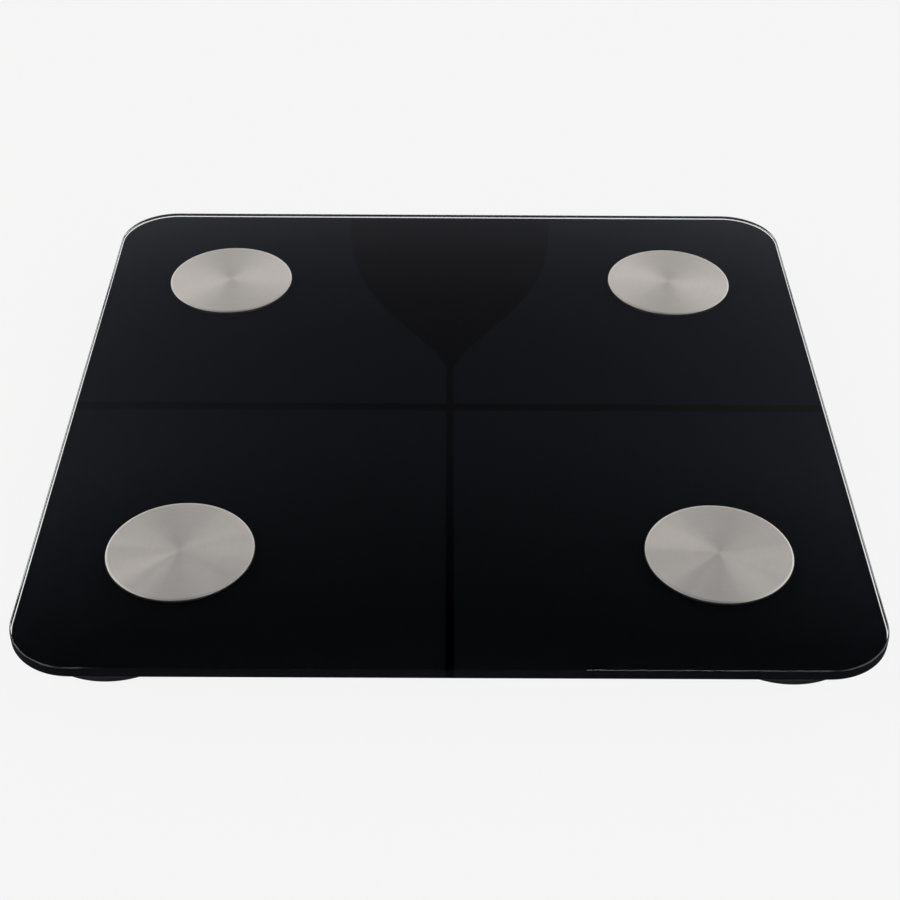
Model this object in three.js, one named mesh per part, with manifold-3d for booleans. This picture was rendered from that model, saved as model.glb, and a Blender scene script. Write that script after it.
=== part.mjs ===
// A glass body-composition bathroom scale, built as the separate pieces it comes apart into.
// Millimetres. +X right, +Y towards the display (back) edge, +Z up.
// The origin is on the floor, under the middle of the platform.

import * as THREE from 'three';
import Module from 'manifold-3d';
import { mergeVertices } from 'three/addons/utils/BufferGeometryUtils.js';

const wasm = await Module();
wasm.setup();

// ---------------------------------------------------------------- driving dimensions

const PLATFORM = 280;          // width and depth of the glass
const CORNER_R = 22;           // corner radius of the glass
const GLASS_T = 4;             // tempered glass
const HEIGHT = 22;             // floor to the top face of the glass

const ELECTRODE_R = 25;
const ELECTRODE_T = 0.6;
const ELECTRODE_X = 90;        // centres, either side of the middle
const ELECTRODE_Y = 85;
const STUD_R = 1.5;
const STUD_HOLE_R = 3;

const FOOT_R = 28;
const FOOT_X = 111.5;          // foot centres, either side of the middle
const FOOT_Y = 96.8;
const PAD_T = 2;               // rubber under each foot
const FOOT_DROP = 0.6;         // play of a foot when the scale is lifted

const TRAY_X = 118;            // half sizes of the under-tray between its four round pods
const TRAY_Y = 112;
const TRAY_R = 20;
const POD_R = 27;
const TRAY_BOTTOM = 4.5;
const TRAY_FLOOR = 1.8;
const TRAY_WALL = 1.8;
const TAPE_T = 1;

const AAA_R = 5.25;
const AAA_LENGTH = 44.5;
const AAA_PITCH = 11.2;
const BAY_X = 26.5;            // half width inside the battery bay
const BAY_FRONT = -102;
const BAY_BACK = -67;
const BAY_WALL = 2.5;
const DOOR_X = 28;
const DOOR_BACK = -66;

const BOARD_X = 42;
const BOARD_FRONT = 50;
const BOARD_BACK = 107;
const BOARD_T = 1.6;
const STANDOFF_X = 38;
const DISPLAY_X = 31;
const DISPLAY_FRONT = 83;
const DISPLAY_BACK = 103;

const BUTTON_Y = 66;
const BUTTON_R = 4;

// ---------------------------------------------------------------- heights that follow from them

const GLASS_BOTTOM = HEIGHT - GLASS_T;
const TAPE_BOTTOM = GLASS_BOTTOM - TAPE_T;
const TRAY_INSIDE = TRAY_BOTTOM + TRAY_FLOOR;
const RIM_T = 1.2;             // inward flange that the bonding tape sits on
const RIM_WIDTH = 8;
const CRADLE_SHELF = TRAY_INSIDE + 2;
const CRADLE_TOP = CRADLE_SHELF + 3;
const CELL_T = 2.5;
const CELL_HALF = 16;
const CELL_TOP = CRADLE_SHELF + CELL_T;
const BOARD_BOTTOM = TRAY_INSIDE + 4;
const BOARD_TOP = BOARD_BOTTOM + BOARD_T;
const DOOR_SLOT_TOP = TRAY_BOTTOM + 1.4;
const DOOR_LIP_TOP = TRAY_BOTTOM + 0.5;
const BAY_ROOF = GLASS_BOTTOM - 1.1;
const AAA_Z = DOOR_SLOT_TOP + 0.35 + AAA_R;
const AAA_Y = (BAY_FRONT + BAY_BACK) / 2;
const FIT_GAP = 0.3;
const ROUND = 24;              // facets of the larger round parts

const CORNERS = [
  { tag: 'front_left', sx: -1, sy: -1 },
  { tag: 'front_right', sx: 1, sy: -1 },
  { tag: 'back_left', sx: -1, sy: 1 },
  { tag: 'back_right', sx: 1, sy: 1 },
];

// ---------------------------------------------------------------- materials

function finish(colour, roughness, metalness) {
  return new THREE.MeshStandardMaterial({ color: colour, roughness, metalness });
}

const FINISH = {
  glass: finish(0x14161c, 0.06, 0),
  steel: finish(0xb4afaa, 0.3, 1),
  plated: finish(0xb9bcc0, 0.35, 1),
  tray: finish(0x1b1c1f, 0.6, 0),
  moulding: finish(0x2a2b2e, 0.55, 0),
  rubber: finish(0x121314, 0.85, 0),
  foam: finish(0x2c2c2c, 0.95, 0),
  board: finish(0x1f4a33, 0.45, 0),
  display: finish(0x15161a, 0.3, 0),
  nylon: finish(0xe9e6dc, 0.5, 0),
  sleeve: finish(0x3c4650, 0.35, 0.3),
  wire: finish(0x8e1f1f, 0.5, 0),
};

// ---------------------------------------------------------------- solids

function toSolid(geometry) {
  const bare = new THREE.BufferGeometry();
  bare.setAttribute('position', geometry.getAttribute('position').clone());
  if (geometry.index) bare.setIndex(geometry.index.clone());
  const merged = mergeVertices(bare, 1e-4);
  const index = merged.index.array;
  const corners = [];
  for (let i = 0; i < index.length; i += 3) {
    const [a, b, c] = [index[i], index[i + 1], index[i + 2]];
    if (a !== b && b !== c && c !== a) corners.push(a, b, c);
  }
  return new wasm.Manifold(new wasm.Mesh({
    numProp: 3,
    vertProperties: Float32Array.from(merged.getAttribute('position').array),
    triVerts: Uint32Array.from(corners),
  }));
}

function toGeometry(solid) {
  const mesh = solid.getMesh();
  const geometry = new THREE.BufferGeometry();
  geometry.setAttribute('position', new THREE.BufferAttribute(mesh.vertProperties, 3));
  geometry.setIndex(new THREE.BufferAttribute(mesh.triVerts, 1));
  geometry.computeVertexNormals();
  return geometry;
}

function roundedRect(halfX, halfY, radius) {
  const shape = new THREE.Shape();
  shape.moveTo(halfX, -halfY + radius);
  shape.lineTo(halfX, halfY - radius);
  shape.absarc(halfX - radius, halfY - radius, radius, 0, Math.PI / 2, false);
  shape.lineTo(-halfX + radius, halfY);
  shape.absarc(-halfX + radius, halfY - radius, radius, Math.PI / 2, Math.PI, false);
  shape.lineTo(-halfX, -halfY + radius);
  shape.absarc(-halfX + radius, -halfY + radius, radius, Math.PI, 1.5 * Math.PI, false);
  shape.lineTo(halfX - radius, -halfY);
  shape.absarc(halfX - radius, -halfY + radius, radius, 1.5 * Math.PI, 2 * Math.PI, false);
  return shape;
}

function circle(radius) {
  const shape = new THREE.Shape();
  shape.absarc(0, 0, radius, 0, 2 * Math.PI, false);
  return shape;
}

function prism(shape, low, high, curveSegments = 8) {
  const geometry = new THREE.ExtrudeGeometry(shape, {
    depth: high - low, bevelEnabled: false, curveSegments,
  });
  return geometry.translate(0, 0, low);
}

function block(x0, x1, y0, y1, z0, z1) {
  const geometry = new THREE.BoxGeometry(x1 - x0, y1 - y0, z1 - z0);
  return geometry.translate((x0 + x1) / 2, (y0 + y1) / 2, (z0 + z1) / 2);
}

// A profile of [radius, height] points, from the bottom of the axis round to its top.
function turned(profile, segments) {
  const points = profile.map(([radius, height]) => new THREE.Vector2(radius, height));
  return new THREE.LatheGeometry(points, segments).rotateX(Math.PI / 2);
}

function cylinder(radius, low, high, segments = 24) {
  return turned([[0, low], [radius, low], [radius, high], [0, high]], segments);
}

function cut(body, tools) {
  return tools.reduce((solid, tool) => solid.subtract(toSolid(tool)), body);
}

function joined(pieces) {
  return pieces.map(toSolid).reduce((whole, piece) => whole.add(piece));
}

function lead(points, radius, steps) {
  const route = new THREE.CatmullRomCurve3(points.map((point) => new THREE.Vector3(...point)));
  return new THREE.ExtrudeGeometry(circle(radius), {
    steps, extrudePath: route, bevelEnabled: false, curveSegments: 3,
  });
}

const scale = new THREE.Group();

function add(name, geometry, material, x = 0, y = 0, z = 0) {
  const mesh = new THREE.Mesh(geometry, material);
  mesh.name = name;
  mesh.position.set(x, y, z);
  scale.add(mesh);
}

// ---------------------------------------------------------------- glass platform

// Outline levels of the polished edge: [how far in from the full size, height].
const GLASS_EDGE = [[0.4, 0], [0, 0.4], [0, 3.2], [0.25, 3.75], [0.8, GLASS_T]];

function glassOutline(inset) {
  const half = PLATFORM / 2 - inset;
  return roundedRect(half, half, CORNER_R - inset).extractPoints(6).shape;
}

// A convex slab whose outline steps in and out from level to level.
function steppedSlab(levels) {
  const rings = levels.map(([inset, height]) => (
    glassOutline(inset).map((point) => [point.x, point.y, height])
  ));
  const count = rings[0].length;
  const positions = rings.flat(2);
  const index = [];
  for (let ring = 0; ring < rings.length - 1; ring += 1) {
    for (let i = 0; i < count; i += 1) {
      const next = (i + 1) % count;
      const [low, lowNext] = [ring * count + i, ring * count + next];
      index.push(low, lowNext, low + count, lowNext, lowNext + count, low + count);
    }
  }
  const top = (rings.length - 1) * count;
  for (let i = 1; i < count - 1; i += 1) {
    index.push(0, i + 1, i);
    index.push(top, top + i, top + i + 1);
  }
  const geometry = new THREE.BufferGeometry();
  geometry.setAttribute('position', new THREE.Float32BufferAttribute(positions, 3));
  geometry.setIndex(index);
  return geometry;
}

function glassPlatform() {
  const holes = CORNERS.map(({ sx, sy }) => (
    cylinder(STUD_HOLE_R, -1, GLASS_T + 1, 16).translate(sx * ELECTRODE_X, sy * ELECTRODE_Y, 0)
  ));
  add('glass_platform', toGeometry(cut(toSolid(steppedSlab(GLASS_EDGE)), holes)), FINISH.glass,
    0, 0, GLASS_BOTTOM);
}

// ---------------------------------------------------------------- electrodes

const STUD_BOTTOM = GLASS_BOTTOM - 3.7;
const TERMINAL_T = 0.6;
const TERMINAL_TOP = GLASS_BOTTOM - 0.1;
const TERMINAL_R = 4.6;
const NUT_T = 2.3;
const NUT_TOP = TERMINAL_TOP - TERMINAL_T - 0.1;

function electrode({ tag, sx, sy }) {
  const [x, y] = [sx * ELECTRODE_X, sy * ELECTRODE_Y];
  const edge = 0.25;
  const disc = turned([
    [0, STUD_BOTTOM], [STUD_R, STUD_BOTTOM], [STUD_R, HEIGHT], [ELECTRODE_R, HEIGHT],
    [ELECTRODE_R, HEIGHT + ELECTRODE_T - edge], [ELECTRODE_R - edge, HEIGHT + ELECTRODE_T],
    [0, HEIGHT + ELECTRODE_T],
  ], 40);
  add(`electrode_${tag}`, disc, FINISH.steel, x, y);

  const hexagon = prism(circle(3.2), NUT_TOP - NUT_T, NUT_TOP, 3);
  const bore = cylinder(STUD_R + 0.2, NUT_TOP - NUT_T - 1, NUT_TOP + 1, 12);
  add(`electrode_nut_${tag}`, toGeometry(cut(toSolid(hexagon), [bore])), FINISH.plated, x, y);
}

// ---------------------------------------------------------------- tray

// The tray's outline, drawn in by inset: a rounded rectangle and four round pods.
function trayParts(inset, low, high) {
  const body = prism(roundedRect(TRAY_X - inset, TRAY_Y - inset, TRAY_R - inset), low, high, 3);
  const pods = CORNERS.map(({ sx, sy }) => (
    cylinder(POD_R - inset, low, high, ROUND).translate(sx * FOOT_X, sy * FOOT_Y, 0)
  ));
  return joined([body, ...pods]);
}

const STANDOFFS = [
  [-STANDOFF_X, BOARD_FRONT + 4],
  [STANDOFF_X, BOARD_FRONT + 4],
  [-STANDOFF_X, BOARD_BACK - 4],
  [STANDOFF_X, BOARD_BACK - 4],
];
const FOOT_HOLE_R = 16.8;
const RIB_T = 1.5;
const RIB_TOP = TRAY_INSIDE + 1.6;

function trayRibs() {
  const across = [-50, 0, 36].map((y) => (
    block(-TRAY_X + 1, TRAY_X - 1, y - RIB_T / 2, y + RIB_T / 2, TRAY_INSIDE - 0.5, RIB_TOP)
  ));
  const along = [-72, 72].map((x) => (
    block(x - RIB_T / 2, x + RIB_T / 2, -TRAY_Y + 1, TRAY_Y - 1, TRAY_INSIDE - 0.5, RIB_TOP + 0.2)
  ));
  return [...across, ...along];
}

function baseTray() {
  const shell = trayParts(0, TRAY_BOTTOM, TAPE_BOTTOM)
    .subtract(trayParts(TRAY_WALL, TRAY_INSIDE, TAPE_BOTTOM - RIM_T))
    .subtract(trayParts(RIM_WIDTH, TAPE_BOTTOM - RIM_T - 1, TAPE_BOTTOM + 1));

  const bayBox = block(-BAY_X - BAY_WALL, BAY_X + BAY_WALL, BAY_FRONT - 1.5, BAY_BACK + 1.5,
    TRAY_INSIDE - 0.5, BAY_ROOF + 0.9);
  const doorSill = block(-BAY_X - BAY_WALL, BAY_X + BAY_WALL, -TRAY_Y + 0.5, BAY_FRONT,
    TRAY_INSIDE - 0.5, TRAY_INSIDE + 1.4);
  const standoffs = STANDOFFS.map(([x, y]) => (
    cylinder(3, TRAY_INSIDE - 0.5, BOARD_BOTTOM, 16).translate(x, y, 0)
  ));
  const filled = joined([bayBox, doorSill, ...standoffs, ...trayRibs()]).add(shell);

  const footHoles = CORNERS.map(({ sx, sy }) => (
    cylinder(FOOT_HOLE_R, TRAY_BOTTOM - 1, TRAY_INSIDE + 0.01, ROUND)
      .translate(sx * FOOT_X, sy * FOOT_Y, 0)
  ));
  // Keeps the ribs out of the round seats of the load cells.
  const podSeats = CORNERS.map(({ sx, sy }) => (
    cylinder(POD_R - TRAY_WALL, TRAY_INSIDE, TAPE_BOTTOM - RIM_T, ROUND)
      .translate(sx * FOOT_X, sy * FOOT_Y, 0)
  ));
  const pilots = STANDOFFS.map(([x, y]) => (
    cylinder(1.3, TRAY_INSIDE, BOARD_BOTTOM + 1, 12).translate(x, y, 0)
  ));
  const doorWide = block(-DOOR_X - FIT_GAP, DOOR_X + FIT_GAP, -TRAY_Y - 1, DOOR_BACK + FIT_GAP,
    DOOR_LIP_TOP, DOOR_SLOT_TOP);
  const doorNarrow = block(-DOOR_X + 1, DOOR_X - 1, -TRAY_Y - 1, DOOR_BACK + FIT_GAP,
    TRAY_BOTTOM - 1, DOOR_LIP_TOP + 0.1);
  const bay = block(-BAY_X, BAY_X, BAY_FRONT, BAY_BACK, TRAY_BOTTOM - 1, BAY_ROOF);
  const buttonHole = cylinder(BUTTON_R + FIT_GAP, TRAY_BOTTOM - 1, TRAY_INSIDE + 1, 24)
    .translate(0, BUTTON_Y, 0);

  const tools = [...footHoles, ...podSeats, ...pilots, doorWide, doorNarrow, bay, buttonHole];
  add('base_tray', toGeometry(cut(filled, tools)), FINISH.tray);
}

function bondingTape() {
  const ring = trayParts(1, TAPE_BOTTOM, GLASS_BOTTOM)
    .subtract(trayParts(RIM_WIDTH - 1, TAPE_BOTTOM - 1, GLASS_BOTTOM + 1));
  add('bonding_tape', toGeometry(ring), FINISH.foam);
}

// ---------------------------------------------------------------- load cells and feet

// A steel plate with a U-shaped slot, which frees the tongue that the foot bears on.
function loadCellShape() {
  const shape = roundedRect(CELL_HALF, CELL_HALF, 2);
  const slot = new THREE.Path();
  slot.moveTo(-9, 8);
  slot.lineTo(-6.5, 8);
  slot.lineTo(-6.5, -8.5);
  slot.lineTo(6.5, -8.5);
  slot.lineTo(6.5, 8);
  slot.lineTo(9, 8);
  slot.lineTo(9, -11);
  slot.lineTo(-9, -11);
  slot.closePath();
  shape.holes.push(slot);
  return shape;
}

function cradle() {
  const pocket = CELL_HALF + FIT_GAP;
  return toGeometry(cut(toSolid(cylinder(POD_R - TRAY_WALL - 0.6, TRAY_INSIDE, CRADLE_TOP, ROUND)), [
    block(-pocket, pocket, -pocket, pocket, CRADLE_SHELF, CRADLE_TOP + 1),
    cylinder(18.5, TRAY_INSIDE - 1, CRADLE_TOP + 1, ROUND),
  ]));
}

function footCup() {
  const flange = TRAY_BOTTOM - 0.3;
  const [stem, bore, lip] = [FOOT_HOLE_R - 0.8, 13.5, FOOT_HOLE_R + 1];
  const lipBottom = TRAY_INSIDE + FOOT_DROP + 0.1;
  return turned([
    [0, PAD_T], [FOOT_R - 0.4, PAD_T], [FOOT_R, PAD_T + 0.4], [FOOT_R, flange - 0.5],
    [FOOT_R - 0.5, flange], [stem, flange], [stem, lipBottom], [lip, lipBottom],
    [lip - 0.5, lipBottom + 0.8], [bore, lipBottom + 0.8], [bore, flange - 1],
    [4, flange - 1], [4, CRADLE_SHELF - 0.05], [0, CRADLE_SHELF - 0.05],
  ], ROUND);
}

function footPad() {
  return turned([
    [0, 0], [FOOT_R - 1, 0], [FOOT_R, 0.8], [FOOT_R, PAD_T], [0, PAD_T],
  ], ROUND);
}

function corner({ tag, sx, sy }) {
  const [x, y] = [sx * FOOT_X, sy * FOOT_Y];
  add(`load_cell_cradle_${tag}`, cradle(), FINISH.moulding, x, y);
  add(`load_cell_${tag}`, prism(loadCellShape(), CRADLE_SHELF, CELL_TOP, 2), FINISH.plated, x, y);
  add(`foot_cup_${tag}`, footCup(), FINISH.moulding, x, y);
  add(`foot_pad_${tag}`, footPad(), FINISH.rubber, x, y);
}

// ---------------------------------------------------------------- electronics

const HEADER_Y = [58, 82];
const HEADER_X = [34, 40];
const HEADER_TOP = BOARD_TOP + 3.5;
const SWITCH_BOTTOM = BOARD_BOTTOM - 2.5;

function electronics() {
  const holes = STANDOFFS.map(([x, y]) => (
    cylinder(1.5, BOARD_BOTTOM - 1, BOARD_TOP + 1, 12).translate(x, y, 0)
  ));
  const sheet = block(-BOARD_X, BOARD_X, BOARD_FRONT, BOARD_BACK, BOARD_BOTTOM, BOARD_TOP);
  add('main_board', toGeometry(cut(toSolid(sheet), holes)), FINISH.board);

  const gasketBottom = GLASS_BOTTOM - 0.5;
  add('display_module', block(-DISPLAY_X, DISPLAY_X, DISPLAY_FRONT, DISPLAY_BACK, BOARD_TOP,
    gasketBottom), FINISH.display);
  const foam = block(-DISPLAY_X, DISPLAY_X, DISPLAY_FRONT, DISPLAY_BACK, gasketBottom,
    GLASS_BOTTOM);
  const window = block(-DISPLAY_X + 2, DISPLAY_X - 2, DISPLAY_FRONT + 2, DISPLAY_BACK - 2,
    gasketBottom - 1, GLASS_BOTTOM + 1);
  add('display_gasket', toGeometry(cut(toSolid(foam), [window])), FINISH.foam);

  for (const [name, side] of [['left', -1], ['right', 1]]) {
    const [inner, outer] = HEADER_X;
    const [x0, x1] = side < 0 ? [-outer, -inner] : [inner, outer];
    add(`lead_header_${name}`, block(x0, x1, ...HEADER_Y, BOARD_TOP, HEADER_TOP), FINISH.nylon);
  }

  STANDOFFS.forEach(([x, y], i) => {
    const screw = turned([
      [0, TRAY_INSIDE + 0.5], [1.1, TRAY_INSIDE + 1], [1.1, BOARD_TOP], [2.6, BOARD_TOP],
      [2.6, BOARD_TOP + 0.8], [1.7, BOARD_TOP + 1.5], [0, BOARD_TOP + 1.5],
    ], 12);
    add(`board_screw_${i + 1}`, screw, FINISH.plated, x, y);
  });

  const unitSwitch = joined([
    block(-3, 3, -3, 3, SWITCH_BOTTOM + 0.5, BOARD_BOTTOM),
    cylinder(1.7, SWITCH_BOTTOM, SWITCH_BOTTOM + 1, 12),
  ]);
  add('unit_switch', toGeometry(unitSwitch), FINISH.display, 0, BUTTON_Y);
  add('unit_button', turned([
    [0, TRAY_BOTTOM + 0.2], [BUTTON_R - 0.4, TRAY_BOTTOM + 0.2], [BUTTON_R, TRAY_BOTTOM + 0.6],
    [BUTTON_R, TRAY_INSIDE + 0.2], [BUTTON_R + 1.5, TRAY_INSIDE + 0.2],
    [BUTTON_R + 1.5, TRAY_INSIDE + 0.8], [0, TRAY_INSIDE + 0.8],
  ], 24), FINISH.moulding, 0, BUTTON_Y);
}

// ---------------------------------------------------------------- batteries

const CONTACT_T = 0.5;
const CONTACT_GAP = 0.3;

function dryCell() {
  const nub = 0.8;
  const length = AAA_LENGTH;
  return turned([
    [0, 0], [AAA_R - 0.5, 0], [AAA_R, 0.5], [AAA_R, length - nub - 0.5],
    [AAA_R - 0.5, length - nub], [1.9, length - nub], [1.9, length], [0, length],
  ], 20);
}

function contactSpring(length) {
  const wire = 0.4;
  const turns = 3;
  class Coil extends THREE.Curve {
    getPoint(t, target = new THREE.Vector3()) {
      const angle = 2 * Math.PI * turns * t;
      const radius = 3.6 - 1.4 * t;
      const height = wire + (length - 2 * wire) * t;
      return target.set(radius * Math.cos(angle), radius * Math.sin(angle), height);
    }
  }
  return new THREE.ExtrudeGeometry(circle(wire), {
    steps: 8 * turns, extrudePath: new Coil(), bevelEnabled: false, curveSegments: 3,
  });
}

function batteries() {
  // Each cell points the other way from its neighbour: nub at +X, -X, +X.
  for (let i = 0; i < 3; i += 1) {
    const side = i % 2 === 0 ? 1 : -1;
    const y = AAA_Y + (i - 1) * AAA_PITCH;
    const nubX = BAY_X - CONTACT_GAP - CONTACT_T - CONTACT_GAP;
    const baseX = nubX - AAA_LENGTH;
    const towardsNub = side * Math.PI / 2;
    add(`battery_cell_${i + 1}`, dryCell().rotateY(towardsNub), FINISH.sleeve,
      side * baseX, y, AAA_Z);
    const plate = block(-CONTACT_T / 2, CONTACT_T / 2, -4, 4, -4, 4);
    add(`battery_plate_${i + 1}`, plate, FINISH.plated,
      side * (BAY_X - CONTACT_GAP - CONTACT_T / 2), y, AAA_Z);
    const room = BAY_X + baseX - 2 * CONTACT_GAP;
    const spring = contactSpring(room).rotateY(towardsNub);
    add(`battery_spring_${i + 1}`, spring, FINISH.plated,
      side * (-BAY_X + CONTACT_GAP), y, AAA_Z);
  }
}

function batteryDoor() {
  const front = -TRAY_Y + 0.3;
  const wide = block(-DOOR_X, DOOR_X, front, DOOR_BACK, DOOR_LIP_TOP + 0.1, DOOR_SLOT_TOP - 0.15);
  const narrow = block(-DOOR_X + 1 + FIT_GAP, DOOR_X - 1 - FIT_GAP, front, DOOR_BACK,
    TRAY_BOTTOM, DOOR_LIP_TOP + 0.2);
  const grips = [0, 1, 2, 3].map((i) => (
    block(-9, 9, front + 4 + 2.4 * i, front + 5.2 + 2.4 * i, TRAY_BOTTOM - 1, TRAY_BOTTOM + 0.35)
  ));
  add('battery_door', toGeometry(cut(joined([wide, narrow]), grips)), FINISH.moulding);
}

// ---------------------------------------------------------------- leads

const LEAD_R = 1.1;
const THIN_LEAD_R = 0.75;
const LEAD_LANE_Z = TRAY_INSIDE + 3.2;
const LEAD_HEADER_X = HEADER_X[1] + 0.6;
const LEAD_HEADER_Z = BOARD_TOP + 1.9;

// The routes are those of the right-hand side; the left-hand ones are their mirror image.
function leadRoutes() {
  const overCell = CELL_TOP + 0.4 + LEAD_R;
  const atRing = TERMINAL_TOP - THIN_LEAD_R - 0.05;
  const ringX = ELECTRODE_X - TERMINAL_R + 0.6;
  return {
    load_cell_lead_front: [
      [101, -87, overCell], [93, -74, overCell + 0.8], [82, -58, LEAD_LANE_Z + 1],
      [78, -30, LEAD_LANE_Z], [76, 10, LEAD_LANE_Z], [70, 46, LEAD_LANE_Z + 1],
      [54, 64, LEAD_HEADER_Z - 1], [LEAD_HEADER_X, 67, LEAD_HEADER_Z],
    ],
    load_cell_lead_back: [
      [101, 92, overCell], [90, 93, overCell + 0.9], [76, 92, overCell],
      [58, 84, LEAD_HEADER_Z], [LEAD_HEADER_X, 79, LEAD_HEADER_Z],
    ],
    electrode_lead_front: [
      [ringX, -85, atRing], [78, -82, atRing - 1.2], [66, -60, LEAD_LANE_Z + 3],
      [62, -20, LEAD_LANE_Z], [60, 20, LEAD_LANE_Z], [54, 52, LEAD_HEADER_Z - 1],
      [LEAD_HEADER_X, 61, LEAD_HEADER_Z],
    ],
    power_lead: [
      [BAY_X + BAY_WALL + 1.4, -74, LEAD_LANE_Z + 2], [38, -64, LEAD_LANE_Z + 1],
      [40, -30, LEAD_LANE_Z], [36, 20, LEAD_LANE_Z], [30, BOARD_FRONT - 0.6, BOARD_TOP - 0.8],
    ],
    electrode_lead_back: [
      [ringX, 85, atRing], [76, 84, atRing - 1.2], [58, 77, LEAD_HEADER_Z + 0.6],
      [LEAD_HEADER_X, 73, LEAD_HEADER_Z],
    ],
  };
}

// A ring terminal round the stud of an electrode, joined to its lead.
function withTerminal(wire, x, y) {
  const ring = cylinder(TERMINAL_R, TERMINAL_TOP - TERMINAL_T, TERMINAL_TOP, 16);
  const bore = cylinder(STUD_R + 0.3, TERMINAL_TOP - 2, TERMINAL_TOP + 1, 12);
  return toGeometry(cut(joined([wire, ring.translate(x, y, 0)]), [bore.translate(x, y, 0)]));
}

function leads() {
  for (const [name, route] of Object.entries(leadRoutes())) {
    for (const [tag, side] of [['left', -1], ['right', 1]]) {
      const points = route.map(([x, y, z]) => [side * x, y, z]);
      const isElectrode = name.startsWith('electrode');
      const wire = lead(points, isElectrode ? THIN_LEAD_R : LEAD_R, 4 * (points.length - 1));
      const geometry = isElectrode ? withTerminal(wire, side * ELECTRODE_X, points[0][1]) : wire;
      add(`${name}_${tag}`, geometry, FINISH.wire);
    }
  }
}

// ---------------------------------------------------------------- assembly

glassPlatform();
CORNERS.forEach(electrode);
bondingTape();
baseTray();
CORNERS.forEach(corner);
electronics();
batteries();
batteryDoor();
leads();

export default scale;
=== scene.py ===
"""Looks of a square glass body-composition scale, built around its CAD model. Metres, +Z up."""

import math

import bpy
from mathutils import Matrix, Vector
from mathutils.geometry import tessellate_polygon


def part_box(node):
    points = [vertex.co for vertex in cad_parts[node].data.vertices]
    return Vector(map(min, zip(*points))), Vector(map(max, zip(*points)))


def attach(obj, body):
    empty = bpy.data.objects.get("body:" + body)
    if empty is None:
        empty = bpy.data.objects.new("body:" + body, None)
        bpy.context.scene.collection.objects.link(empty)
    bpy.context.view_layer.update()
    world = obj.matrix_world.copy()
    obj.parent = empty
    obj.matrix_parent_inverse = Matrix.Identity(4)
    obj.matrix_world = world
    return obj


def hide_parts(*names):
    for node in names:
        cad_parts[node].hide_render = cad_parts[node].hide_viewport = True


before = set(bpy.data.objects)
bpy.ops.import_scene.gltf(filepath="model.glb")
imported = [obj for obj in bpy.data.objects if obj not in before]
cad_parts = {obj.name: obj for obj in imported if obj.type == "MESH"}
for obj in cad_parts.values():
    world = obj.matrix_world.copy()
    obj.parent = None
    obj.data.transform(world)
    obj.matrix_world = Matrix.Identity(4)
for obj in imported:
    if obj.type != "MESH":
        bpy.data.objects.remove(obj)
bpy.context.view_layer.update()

MM = 0.001
CORNERS = ("front_left", "front_right", "back_left", "back_right")


# ------------------------------------------------------------------ sizes read from the frame


def middle(node):
    low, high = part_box(node)
    return (low + high) / 2


GLASS_LOW, GLASS_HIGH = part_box("glass_platform")
TRAY_LOW, TRAY_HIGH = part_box("base_tray")
HALF = GLASS_HIGH.x
GLASS_TOP = GLASS_HIGH.z
INK_CLEARANCE = 0.02 * MM  # lifts the ink off the face of the tape
GLASS_BOTTOM = GLASS_LOW.z + INK_CLEARANCE
CORNER_R = 22 * MM
STUD_R = 1.5 * MM
STUD_HOLE_R = 3 * MM
FOOT = middle("foot_pad_front_right")
POD_R = TRAY_HIGH.x - FOOT.x
TRAY_X = 118 * MM
TRAY_Y = 112 * MM


# ------------------------------------------------------------------ camera

CAMERA_PITCH = math.radians(37.626)
CAMERA_YAW = math.radians(0.246)
CAMERA_ROLL = math.radians(0.424)
CAMERA_DISTANCE = 641.95 * MM
CAMERA_OFFSET = (-0.044 * MM, -17.68 * MM)
LENS = 68.805
SENSOR = 36.0


def add_camera():
    """Looks down at the glass from the front, its middle a little above the view's centre."""
    level = Matrix(((1, 0, 0), (0, 0, -1), (0, 1, 0)))
    turn = (
        Matrix.Rotation(CAMERA_ROLL, 3, "Z")
        @ Matrix.Rotation(CAMERA_PITCH, 3, "X")
        @ level
        @ Matrix.Rotation(CAMERA_YAW, 3, "Z")
    )
    offset = Vector((CAMERA_OFFSET[0], CAMERA_OFFSET[1], CAMERA_DISTANCE))
    place = Vector((0, 0, GLASS_TOP)) - turn.transposed() @ offset
    right, down, forward = turn.row
    data = bpy.data.cameras.new("camera")
    data.lens = LENS
    data.sensor_width = SENSOR
    data.clip_start = 0.01
    camera = bpy.data.objects.new("camera", data)
    axes = Matrix((right, -down, -forward)).transposed()
    camera.matrix_world = Matrix.Translation(place) @ axes.to_4x4()
    bpy.context.scene.collection.objects.link(camera)
    bpy.context.scene.camera = camera


# ------------------------------------------------------------------ node helpers


def new_material(name):
    material = bpy.data.materials.new(name)
    material.use_nodes = True
    tree = material.node_tree
    tree.nodes.clear()
    output = tree.nodes.new("ShaderNodeOutputMaterial")
    shader = tree.nodes.new("ShaderNodeBsdfPrincipled")
    tree.links.new(shader.outputs[0], output.inputs["Surface"])
    return material, tree, shader


def node(tree, kind, **settings):
    made = tree.nodes.new(kind)
    for key, value in settings.items():
        setattr(made, key, value)
    return made


def link(tree, source, target):
    """Connects a socket, or sets the target's value where the source is a plain number."""
    if isinstance(source, bpy.types.NodeSocket):
        tree.links.new(source, target)
    else:
        target.default_value = source


def math_node(tree, operation, first, second=None, clamp=False):
    made = node(tree, "ShaderNodeMath", operation=operation, use_clamp=clamp)
    link(tree, first, made.inputs[0])
    if second is not None:
        link(tree, second, made.inputs[1])
    return made.outputs[0]


def object_coords(tree):
    return node(tree, "ShaderNodeTexCoord").outputs["Object"]


def separate(tree, vector):
    made = node(tree, "ShaderNodeSeparateXYZ")
    tree.links.new(vector, made.inputs[0])
    return made.outputs


def combine(tree, x, y, z):
    made = node(tree, "ShaderNodeCombineXYZ")
    for socket, value in zip(made.inputs, (x, y, z)):
        link(tree, value, socket)
    return made.outputs[0]


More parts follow.
